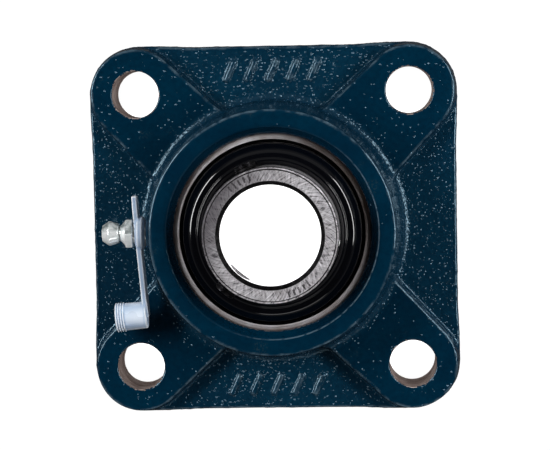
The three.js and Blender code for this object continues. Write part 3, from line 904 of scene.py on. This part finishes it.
def build_spring():
    """A round wire wound into a coil with closed ends."""
    turns, radius, wire = 7.5, 0.8, 0.14
    low, high = 1.7 + wire, 7.65 - wire
    steps, sides = 260, 12
    points, faces = [], []
    for i in range(steps + 1):
        t = i / steps
        angle = 2 * math.pi * turns * t
        ease = min(max((t - 0.12) / 0.76, 0), 1)
        height = low + (high - low) * ease + 2 * wire * (min(t / 0.12, 1) + max(t - 0.88, 0) / 0.12 - 1)
        out = Vector((math.cos(angle), math.sin(angle), 0))
        for k in range(sides):
            around = 2 * math.pi * k / sides
            spot = out * (radius + wire * math.cos(around))
            points.append((spot.x, spot.y, height + wire * math.sin(around)))
    for i in range(steps):
        for k in range(sides):
            n = (k + 1) % sides
            faces.append([i * sides + k, (i + 1) * sides + k, (i + 1) * sides + n, i * sides + n][::-1])
    faces.append(list(range(sides)))
    faces.append([steps * sides + k for k in reversed(range(sides))])
    return along_nipple(make_object("nipple_spring_fine", points, faces, 50))


# ---- Dust cap ----

CAP_OFFSET = 21.2  # of the cap's middle from the nipple axis
CAP_RADIUS = 3.65
CAP_MIDDLE = -36.3
CAP_HALF = 4.1
CAP_WALL = 0.65
CAP_LEAN = math.radians(5)
RIB_PITCH = 0.62
STRAP_LEAN = 0.08
STRAP_MIDDLE = -(NIPPLE_PAD_FACE + 1.6)
STRAP_HALF = 0.68
EYELET_MIDDLE = -(NIPPLE_PAD_FACE + 0.95)
EYELET_RADIUS = 4.3
EYELET_HOLE = 2.95
TAIL_END = 9.4


def cap_parts(x, y, up):
    """The cap's outside and its well, square to the leaning strap."""
    c, s = math.cos(CAP_LEAN), math.sin(CAP_LEAN)
    dx, dy = x - CAP_MIDDLE, y + CAP_OFFSET
    along = dx * c + dy * s
    down = np.hypot(dy * c - dx * s, up)
    near_mouth = 1 - smooth_step(-CAP_HALF + 2.2, -CAP_HALF + 2.6, along)
    ribs = 0.13 * near_mouth * (1 - np.cos(2 * math.pi * (along + CAP_HALF) / RIB_PITCH))
    taper = 0.012 * (along + CAP_HALF)
    domed = along - CAP_HALF + 0.3 * (down / CAP_RADIUS) ** 2
    ends = both(domed, -CAP_HALF - along)
    outside = round_max(down - CAP_RADIUS + 0.15 + taper - ribs, ends, 0.35)
    well = round_max(down - CAP_RADIUS + CAP_WALL, along - CAP_HALF + CAP_WALL + 0.2, 0.4)
    return outside, well


def dust_cap_field(x, y, z):
    """Eyelet, strap, tail and cap as one moulding, in the unit's own frame."""
    up = z - NIPPLE_HEIGHT
    reach = np.hypot(y, up)
    bulge = 2.05 - 1.45 * np.clip(reach / EYELET_RADIUS, 0, 1) ** 2
    disc = round_max(reach - EYELET_RADIUS, np.abs(x - EYELET_MIDDLE) - bulge, 0.25)
    middle = STRAP_MIDDLE - STRAP_LEAN * y
    width = 2.3 - 0.5 * smooth_step(5, TAIL_END, y)
    band = round_max(np.abs(x - middle) - STRAP_HALF, np.abs(up) - width, 0.3)
    band = round_max(band, both(y - TAIL_END, -CAP_OFFSET - y), 0.25)
    body = round_min(disc, band, 0.5)
    outside, well = cap_parts(x, y, up)
    body = round_min(body, outside, 0.4)
    body = round_max(body, -well, 0.15)
    return round_max(body, EYELET_HOLE - reach, 0.12)


def build_dust_cap():
    step = 0.11
    low, high = node_box("dust_cap")
    points, quads = surface_nets(dust_cap_field, low, high, step)
    made = make_dense_object("dust_cap_fine", points, quads)
    add_attribute(made, "edge", np.clip(bend_amount(dust_cap_field, points, 0.3), 0, 1))
    return made


# ---- Materials ----

class Nodes:
    """A node tree under construction."""

    place = None  # socket with the place in millimetres

    def __init__(self, tree):
        self.tree = tree

    def node(self, kind, **settings):
        made = self.tree.nodes.new(kind)
        for key, value in settings.items():
            setattr(made, key, value)
        return made

    def link(self, source, target):
        self.tree.links.new(source, target)

    def noise(self, wavelength, detail=2.0, place=None):
        """Noise from 0 to 1 whose main features are wavelength millimetres across."""
        made = self.node("ShaderNodeTexNoise")
        made.inputs["Scale"].default_value = 1 / wavelength
        made.inputs["Detail"].default_value = detail
        self.link(place or self.place, made.inputs["Vector"])
        return made.outputs["Fac"]

    def split(self, vector=None):
        """The three numbers of a vector, or of the place."""
        parts = self.node("ShaderNodeSeparateXYZ")
        self.link(vector or self.place, parts.inputs[0])
        return [parts.outputs[k] for k in "XYZ"]

    def attribute(self, name):
        return self.node("ShaderNodeAttribute", attribute_name=name).outputs["Fac"]

    def math(self, operation, a, b=0.0, clamp=False):
        made = self.node("ShaderNodeMath", operation=operation, use_clamp=clamp)
        for slot, value in zip(made.inputs, (a, b)):
            if isinstance(value, (int, float)):
                slot.default_value = value
            else:
                self.link(value, slot)
        return made.outputs["Value"]

    def times(self, *factors):
        product = factors[0]
        for factor in factors[1:]:
            product = self.math("MULTIPLY", product, factor)
        return product

    def remap(self, source, low, high, to_low=0.0, to_high=1.0):
        made = self.node("ShaderNodeMapRange", clamp=True)
        self.link(source, made.inputs["Value"])
        for key, value in (("From Min", low), ("From Max", high),
                           ("To Min", to_low), ("To Max", to_high)):
            made.inputs[key].default_value = value
        return made.outputs["Result"]

    def mix(self, factor, first, second):
        """A colour between two colours, each a tuple or a socket."""
        made = self.node("ShaderNodeMix", data_type="RGBA")
        self.link(factor, made.inputs["Factor"])
        for slot, value in ((made.inputs[6], first), (made.inputs[7], second)):
            if isinstance(value, tuple):
                slot.default_value = (*value, 1)
            else:
                self.link(value, slot)
        return made.outputs[2]

    def polar(self, round_scale, out_scale, up_scale=1.0, slant=0.0):
        """Coordinates that follow a turned piece: angle, radius and height, each scaled.

        slant adds radius to the angle, so that marks lean as they run outwards.
        """
        x, y, z = self.split()
        squares = self.math("ADD", self.times(x, x), self.times(y, y))
        radius = self.math("SQRT", squares)
        turn = self.times(self.math("ARCTAN2", y, x), round_scale)
        made = self.node("ShaderNodeCombineXYZ")
        self.link(self.math("ADD", turn, self.times(radius, slant)), made.inputs[0])
        self.link(self.times(radius, out_scale), made.inputs[1])
        self.link(self.times(z, up_scale), made.inputs[2])
        return made.outputs[0]


class Shader(Nodes):
    """A procedural material under construction; places are in millimetres."""

    def __init__(self, name, colour, roughness, metallic=0.0):
        self.material = bpy.data.materials.new(name)
        self.material.use_nodes = True
        super().__init__(self.material.node_tree)
        self.surface = self.tree.nodes["Principled BSDF"]
        self.colour = colour
        self.set("Base Color", (*colour, 1))
        self.set("Roughness", roughness)
        self.set("Metallic", metallic)
        scaled = self.node("ShaderNodeVectorMath", operation="SCALE")
        scaled.inputs["Scale"].default_value = 1 / MM
        self.link(self.node("ShaderNodeTexCoord").outputs["Object"], scaled.inputs[0])
        self.place = scaled.outputs["Vector"]

    def set(self, socket, value):
        self.surface.inputs[socket].default_value = value

    def feed(self, socket, source):
        self.link(source, self.surface.inputs[socket])

    def paint(self, factor, colour, ground=None):
        """Mixes a colour over the ground, or else over the base colour so far."""
        self.colour = self.mix(factor, ground or self.colour, colour)
        self.feed("Base Color", self.colour)

    def roughen(self, noise, low, high):
        """Lets the roughness follow a noise between two values."""
        self.feed("Roughness", self.remap(noise, 0.3, 0.7, low, high))

    def bump(self, height, strength, distance, below=None):
        """Adds bump; strength is a number or a socket, distance is in millimetres."""
        made = self.node("ShaderNodeBump")
        if isinstance(strength, (int, float)):
            made.inputs["Strength"].default_value = strength
        else:
            self.link(strength, made.inputs["Strength"])
        made.inputs["Distance"].default_value = distance * MM
        self.link(height, made.inputs["Height"])
        if below is not None:
            self.link(below, made.inputs["Normal"])
        self.feed("Normal", made.outputs["Normal"])
        return made.outputs["Normal"]


def enamel_material():
    """Dark petrol enamel, glossy, over a casting with scattered sand grains, with painted highlights on
    the grain tips, the edges and the mouth edge.
    """
    m = Shader("petrol_enamel", (0, 0.0155, 0.034), 0.14)
    m.set("Specular Tint", (0.55, 0.83, 1.0, 1))
    grain = m.attribute("grain")
    edge = m.attribute("edge")
    cloud = m.noise(14, 3)
    m.paint(m.remap(cloud, 0.3, 0.7), (0, 0.0195, 0.042), (0, 0.0135, 0.031))
    m.paint(m.remap(grain, 0.7, 1.0, 0, 0.3), (0.006, 0.032, 0.06))
    fine = m.noise(1.1, 3)
    m.paint(m.remap(fine, 0.35, 0.75, 0, 0.4), (0, 0.0055, 0.014))
    # Partly enamel worn thin on the edges, partly painted highlight on the edges and along the mouth.
    worn_edge_and_highlight = m.math("MULTIPLY", edge, m.remap(m.noise(2.2, 4), 0.42, 0.6), clamp=True)
    worn_edge_and_highlight = m.math("MAXIMUM", worn_edge_and_highlight, mouth_edge_highlight(m))
    m.paint(m.times(worn_edge_and_highlight, 0.45), (0.12, 0.185, 0.23))
    patches = m.remap(m.noise(7, 5), 0.62, 0.68)
    scuffs = m.times(patches, m.remap(m.noise(0.5, 3), 0.5, 0.62))
    m.paint(m.times(scuffs, 0.4), (0.022, 0.04, 0.05))
    coarse = raised_grains(m, 0.95, 0.36, m.times(m.math("POWER", grain, 1.5), 0.85))
    dense = m.remap(grain, 0.85, 1.3, 0.15, 0.85)
    small = raised_grains(m, 0.62, 0.36, m.times(dense, grain))
    # Painted highlight: pale glints on the tips of the grains.
    painted_grain_glints = m.math("MAXIMUM", m.remap(coarse, 0.3, 0.9), m.remap(small, 0.4, 0.9, 0, 0.8))
    m.paint(m.times(painted_grain_glints, 0.7), (0.15, 0.25, 0.34))
    m.roughen(m.noise(2.5, 4), 0.10, 0.17)
    peel = m.bump(m.noise(3.5, 1), 0.2, 0.15)
    below = m.bump(coarse, 1.0, 0.13, peel)
    below = m.bump(small, 1.0, 0.08, below)
    m.bump(m.noise(0.6, 2), m.remap(grain, 1.0, 1.3), 0.16, below)
    return m.material


def mouth_edge_highlight(m):
    """1 on a painted highlight along the edge of the mouth, broken by noise, most towards +x and -y."""
    angle, radius, height = m.split(m.polar(1, 1))
    off = m.math("ABSOLUTE", m.math("SUBTRACT", radius, MOUTH_RADIUS + 0.1))
    line = m.remap(off, 0.08, 0.2, 1, 0)
    on_top = m.math("GREATER_THAN", height, BOSS_TOP - 0.6)
    turn = m.math("COSINE", m.math("ADD", angle, math.radians(30)))
    return m.times(line, on_top, m.remap(turn, 0.1, 0.7), m.remap(m.noise(1.5, 3), 0.38, 0.5))


def raised_grains(m, spacing, size, density):
    """Height, from 0 to 1, of separate round grains; density is the share of cells with one."""
    cells = m.node("ShaderNodeTexVoronoi")
    cells.inputs["Scale"].default_value = 1 / spacing
    m.link(m.place, cells.inputs["Vector"])
    lots = m.node("ShaderNodeSeparateColor")
    m.link(cells.outputs["Color"], lots.inputs[0])
    radius = m.remap(lots.outputs[1], 0, 1, 0.55 * size, size)
    reach = m.math("DIVIDE", cells.outputs["Distance"], radius)
    dome = m.math("SUBTRACT", 1.0, m.times(reach, reach), clamp=True)
    present = m.math("LESS_THAN", lots.outputs[0], density)
    return m.times(dome, m.remap(lots.outputs[2], 0, 1, 0.45, 1), present)


def machined_iron_material():
    """Bare cut iron with tool marks that run round the hole and a faint brown bloom."""
    m = Shader("machined_iron", (0.3, 0.24, 0.22), 0.6)
    stretched = m.node("ShaderNodeVectorMath", operation="MULTIPLY")
    stretched.inputs[1].default_value = (0.25, 0.25, 4.0)
    m.link(m.place, stretched.inputs[0])
    marks = m.noise(1.0, 2, stretched.outputs["Vector"])
    bloom = m.noise(3.0, 4)
    m.paint(m.remap(bloom, 0.35, 0.7), (0.07, 0.047, 0.04), (0.20, 0.155, 0.14))
    m.paint(m.remap(marks, 0.45, 0.65, 0, 0.75), (0.36, 0.31, 0.29))
    m.roughen(bloom, 0.5, 0.7)
    m.set("Specular IOR Level", 0.0)
    m.bump(marks, 0.5, 0.05)
    return m.material


ETCH_ANGLES = (118, -62)  # of the two etched marks on the end face, in degrees
ETCH_RADIUS = 15.1
ETCH_HALF_LENGTH = 0.75
ETCH_HALF_SPAN = math.radians(13)
ETCH_PITCH = math.radians(5.2)


def etched_ticks(m):
    """1 on short plain ticks etched in two groups into the ring's upper end face."""
    angle, radius, height = m.split(m.polar(1, 1))
    along = m.math("ABSOLUTE", m.math("SUBTRACT", radius, ETCH_RADIUS))
    on_face = m.times(m.math("LESS_THAN", along, ETCH_HALF_LENGTH),
                      m.math("GREATER_THAN", height, INNER_HIGH[2] - 0.2))
    near = 0.0
    for degrees in ETCH_ANGLES:
        off = m.math("ABSOLUTE", m.math("SUBTRACT", angle, math.radians(degrees)))
        near = m.math("ADD", near, m.math("LESS_THAN", off, ETCH_HALF_SPAN))
    wave = m.math("FRACT", m.math("DIVIDE", m.math("ADD", angle, 2 * math.pi), ETCH_PITCH))
    worn = m.remap(m.noise(0.35, 2), 0.25, 0.45)
    return m.times(m.math("LESS_THAN", wave, 0.36), worn, near, on_face)


def ground_steel_material():
    """The inner ring: ground faces with crossing slanted scratches, and painted shade towards -x and
    +y.
    """
    m = Shader("ground_steel", (0.5, 0.48, 0.5), 0.34, 0.45)
    leaning = m.noise(1.0, 3, m.polar(34.0, 0.45, 1.2, 1.9))
    crossing = m.noise(1.0, 3, m.polar(30.0, 0.45, 1.2, -0.7))
    rings = m.noise(1.0, 2, m.polar(1.2, 7.0, 7.0))
    strokes = m.math("ADD", m.times(leaning, 0.6), m.times(crossing, 0.4))
    x, y, z = m.split()
    middle = (INNER_LOW[2] + INNER_HIGH[2]) / 2
    half = INNER_HIGH[2] - middle
    from_middle = m.math("ABSOLUTE", m.math("SUBTRACT", z, middle))
    wall = m.remap(from_middle, half - 0.7, half - 0.5, 0.85, 0)
    strokes = m.times(strokes, m.math("SUBTRACT", 1.0, wall))
    strokes = m.math("ADD", strokes, m.times(rings, wall))
    m.paint(m.remap(strokes, 0.38, 0.62), (0.86, 0.835, 0.87), (0.22, 0.21, 0.225))
    m.paint(m.remap(m.noise(5, 4), 0.45, 0.75, 0, 0.4), (0.20, 0.175, 0.18))
    # Painted shade: the face is darkened towards -x and +y.
    painted_shade_side = m.math("SUBTRACT", m.times(y, 0.42), m.times(x, 0.9))
    m.paint(m.remap(painted_shade_side, 3, 15, 0, 0.85), (0.075, 0.068, 0.078))
    m.paint(m.times(etched_ticks(m), 0.9), (0.04, 0.035, 0.04))
    m.feed("Roughness", m.remap(strokes, 0.36, 0.64, 0.24, 0.42))
    m.bump(rings, 0.25, 0.02, m.bump(strokes, 0.6, 0.05))
    return m.material


def outer_ring_material():
    """The outer ring: fine turning marks, and a brown stain with painted shade that deepens towards +x
    and +y.
    """
    m = Shader("outer_ring_steel", (0.4, 0.37, 0.37), 0.36, 0.5)
    rings = m.noise(1.0, 3, m.polar(1.5, 8.0, 8.0))
    m.paint(m.remap(m.noise(4.0, 4), 0.35, 0.7), (0.36, 0.31, 0.295), (0.60, 0.585, 0.61))
    x, y, _ = m.split()
    # Partly a brown stain and partly painted shade: darker towards +x and +y.
    painted_shade_side = m.math("ADD", x, m.times(y, 0.6))
    m.paint(m.remap(painted_shade_side, 6, 25, 0, 0.92), (0.035, 0.024, 0.02))
    m.roughen(rings, 0.28, 0.46)
    m.bump(rings, 0.4, 0.03)
    return m.material


def black_coat_material():
    """Glossy black coating on the pressed flingers, with faint dust and spinning marks."""
    m = Shader("black_coat", (0.0012, 0.0014, 0.0025), 0.14)
    rings = m.noise(1.0, 2, m.polar(1.0, 5.0, 5.0))
    dust = m.noise(0.5, 4)
    m.paint(m.remap(dust, 0.6, 0.8, 0, 0.4), (0.006, 0.006, 0.008), (0.001, 0.0012, 0.0022))
    m.roughen(m.noise(3, 3), 0.07, 0.13)
    m.bump(rings, 0.12, 0.03)
    return m.material


def rubber_material():
    m = Shader("seal_rubber", (0.008, 0.008, 0.009), 0.6)
    fine = m.noise(0.3, 3)
    m.paint(fine, (0.014, 0.014, 0.014), (0.005, 0.005, 0.006))
    m.roughen(fine, 0.5, 0.72)
    m.bump(fine, 0.3, 0.03)
    return m.material


def steel_material(name, dark, light, rough_low, rough_high, wavelength):
    """Plain steel whose shade and roughness vary a little from place to place."""
    m = Shader(name, light, rough_low, 1.0)
    cloud = m.noise(wavelength, 4)
    m.paint(m.remap(cloud, 0.3, 0.7), light, dark)
    m.roughen(cloud, rough_low, rough_high)
    m.bump(m.noise(wavelength / 4, 3), 0.25, 0.02)
    return m.material


def zinc_material():
    """Bright zinc plating with a faint blue-green cast, with blotchy painted shade on the facets that
    face +y.
    """
    m = Shader("zinc_plate", (0.8, 0.83, 0.83), 0.2, 0.4)
    m.set("Specular IOR Level", 1.0)
    cloud = m.noise(1.6, 4)
    m.paint(m.remap(cloud, 0.35, 0.65), (0.99, 1.0, 1.0), (0.88, 0.94, 0.94))
    # Painted shade: facets whose normals face +y are darkened in blotches.
    _, lean, _ = m.split(m.node("ShaderNodeTexCoord").outputs["Normal"])
    painted_shade_facets = m.times(m.remap(lean, 0.1, 0.5), m.remap(m.noise(1.3, 2), 0.38, 0.56, 0.3, 0.85))
    m.paint(painted_shade_facets, (0.13, 0.17, 0.17))
    m.roughen(m.noise(0.6, 3), 0.10, 0.2)
    m.bump(m.noise(0.5, 1), 0.15, 0.03)
    return m.material


def milky_plastic_material():
    """Soft translucent polyethylene: cloudy, pale blue where the dark shows through, with painted
    highlights along its edges.
    """
    m = Shader("milky_plastic", (0.5, 0.6, 0.72), 0.25)
    cloud = m.noise(4.0, 1)
    m.paint(m.remap(cloud, 0.3, 0.7), (0.43, 0.55, 0.71), (0.31, 0.42, 0.60))
    # Painted highlight: the bent edges are made pale.
    m.paint(m.attribute("edge"), (0.86, 0.91, 0.97))
    m.set("Transmission Weight", 0.14)
    m.set("IOR", 1.2)
    m.set("Sheen Weight", 0.5)
    m.set("Sheen Roughness", 0.3)
    m.roughen(cloud, 0.2, 0.3)
    return m.material


def floor_material():
    """A table that the camera sees as white and that gives off light only under the unit."""
    m = Shader("white_table", (0.04, 0.04, 0.04), 0.7)
    m.set("Emission Color", (1, 1, 1, 1))
    x, y, _ = m.split()
    away = m.math("MAXIMUM", m.math("ABSOLUTE", x), m.math("ABSOLUTE", y))
    glow = m.remap(away, HOLE_OFFSET + 2, HOLE_OFFSET + 9, 1.6, 0.0)
    seen = m.node("ShaderNodeLightPath").outputs["Is Camera Ray"]
    m.feed("Emission Strength", m.math("MAXIMUM", seen, glow))
    return m.material


# ---- Build ----

ENAMEL = enamel_material()
IRON = machined_iron_material()
GROUND = ground_steel_material()
RING_STEEL = outer_ring_material()
BLACK = black_coat_material()
RUBBER = rubber_material()
BALL_STEEL = steel_material("ball_steel", (0.72, 0.72, 0.74), (0.82, 0.82, 0.84), 0.06, 0.12, 2.0)
PRESSED = steel_material("pressed_steel", (0.32, 0.31, 0.31), (0.45, 0.44, 0.44), 0.3, 0.45, 3.0)
SCREW_STEEL = steel_material("screw_steel", (0.012, 0.012, 0.014), (0.035, 0.034, 0.036),
                             0.25, 0.45, 1.5)
# Near-black steel that paints shade on the chamfers, bevels, small steps and shroud rims.
PAINTED_SHADE_STEEL = steel_material("painted_shade_steel", (0.006, 0.006, 0.006), (0.024, 0.023, 0.024),
                          0.3, 0.5, 1.0)
HONED = steel_material("honed_bore", (0.70, 0.69, 0.71), (0.84, 0.83, 0.85), 0.10, 0.2, 2.0)
ZINC = zinc_material()
MILKY = milky_plastic_material()

assemble(build_housing(), "housing", ["housing"], "housing_enamel", ENAMEL, IRON)
assemble(build_outer_ring(), "outer_race", ["outer_ring"], "outer_ring_steel", RING_STEEL, PAINTED_SHADE_STEEL)
assemble(build_inner_ring(), "inner_race", ["inner_ring"], "ground_steel", GROUND, PAINTED_SHADE_STEEL, HONED)
for end, side in (("front", 1), ("back", -1)):
    assemble(build_flinger(end, side), "inner_race", [f"flinger_{end}"], "black_coat", BLACK, RUBBER)
    assemble(build_shroud(end, side), "outer_race", [f"seal_shroud_{end}"], "pressed_steel",
             PRESSED, PAINTED_SHADE_STEEL)
    assemble(build_lip(end, side), "outer_race", [f"seal_lip_{end}"], "seal_rubber", RUBBER)
    assemble(build_cage_half(side), "cage", [f"cage_{end}"], "pressed_steel", PRESSED)
for number in range(BALL_COUNT):
    assemble(build_ball(number), f"ball_{number + 1}", [f"ball_{number + 1}"],
             "ball_steel", BALL_STEEL)
    assemble(build_rivet(number), "cage", [f"cage_rivet_{number + 1}"], "rivet_steel", PRESSED)
for number in range(len(SCREW_ANGLES)):
    assemble(build_set_screw(number), f"set_screw_{number + 1}", [f"set_screw_{number + 1}"],
             "screw_steel", SCREW_STEEL)
assemble(build_nipple(), "housing", ["grease_nipple"], "zinc_plate", ZINC)
assemble(build_check_ball(), "nipple_valve", ["nipple_check_ball"], "ball_steel", BALL_STEEL)
assemble(build_spring(), "housing", ["nipple_spring"], "spring_steel", PRESSED)
assemble(build_dust_cap(), "dust_cap", ["dust_cap"], "milky_plastic", MILKY)


# ---- Floor, light and camera ----

FLOOR_HALF = 1500.0
FLOOR_HEIGHT = -0.02
LIGHT_TARGET = (0, 0, 10)


def build_floor():
    h = FLOOR_HALF
    corners = [(x, y, FLOOR_HEIGHT) for x, y in ((-h, -h), (h, -h), (h, h), (-h, h))]
    floor = make_object("floor", corners, [(0, 1, 2, 3)])
    floor.data.materials.append(floor_material())


def area_light(name, place, width, height, power):
    """A soft white rectangular light aimed at the unit; millimetres and watts."""
    data = bpy.data.lights.new(name, "AREA")
    data.shape = "RECTANGLE"
    data.size = width * MM
    data.size_y = height * MM
    data.energy = power
    lamp = link(name, data)
    lamp.location = Vector(place) * MM
    aim = (Vector(LIGHT_TARGET) - Vector(place)).to_track_quat("-Z", "Y")
    lamp.rotation_euler = aim.to_euler()


ZENITH_GLOW = 0.02
HORIZON_GLOW = 0.16


def build_world():
    """A dim grey room, a little lighter near the horizon, that the camera sees as white."""
    world = bpy.data.worlds.new("studio")
    world.use_nodes = True
    scene.world = world
    sky = Nodes(world.node_tree)
    background = sky.tree.nodes["Background"]
    background.inputs["Color"].default_value = (1, 1, 1, 1)
    _, _, rise = sky.split(sky.node("ShaderNodeTexCoord").outputs["Generated"])
    glow = sky.remap(rise, 0, 0.6, HORIZON_GLOW, ZENITH_GLOW)
    seen = sky.node("ShaderNodeLightPath").outputs["Is Camera Ray"]
    sky.link(sky.math("MAXIMUM", glow, seen), background.inputs["Strength"])


CAMERA_PLACE = (25.2, 37.3, 522.0)
CAMERA_TARGET = (0.2, 1.1, LUG_TOP)
CAMERA_ROLL = math.radians(1.05)
CAMERA_LENS = 130.4


def build_camera():
    data = bpy.data.cameras.new("camera")
    data.lens = CAMERA_LENS
    data.sensor_width = 36
    data.clip_start = 0.01
    data.clip_end = 10
    camera = link("camera", data)
    forward = (Vector(CAMERA_TARGET) - Vector(CAMERA_PLACE)).normalized()
    up = Vector((math.sin(CAMERA_ROLL), math.cos(CAMERA_ROLL), 0))
    right = forward.cross(up).normalized()
    up = right.cross(forward)
    turn = Matrix((right, up, -forward)).transposed()
    camera.matrix_world = Matrix.Translation(Vector(CAMERA_PLACE) * MM) @ turn.to_4x4()
    scene.camera = camera


build_floor()
build_world()
build_camera()
area_light("light_left", (-450, 150, 390), 380, 130, 3.4)
area_light("light_right", (305, 72, 265), 300, 90, 1.5)
area_light("light_fill", (60, 520, 500), 1100, 700, 0.5)
area_light("light_below", (80, -420, 330), 360, 100, 0.25)
scene.view_settings.view_transform = "Standard"
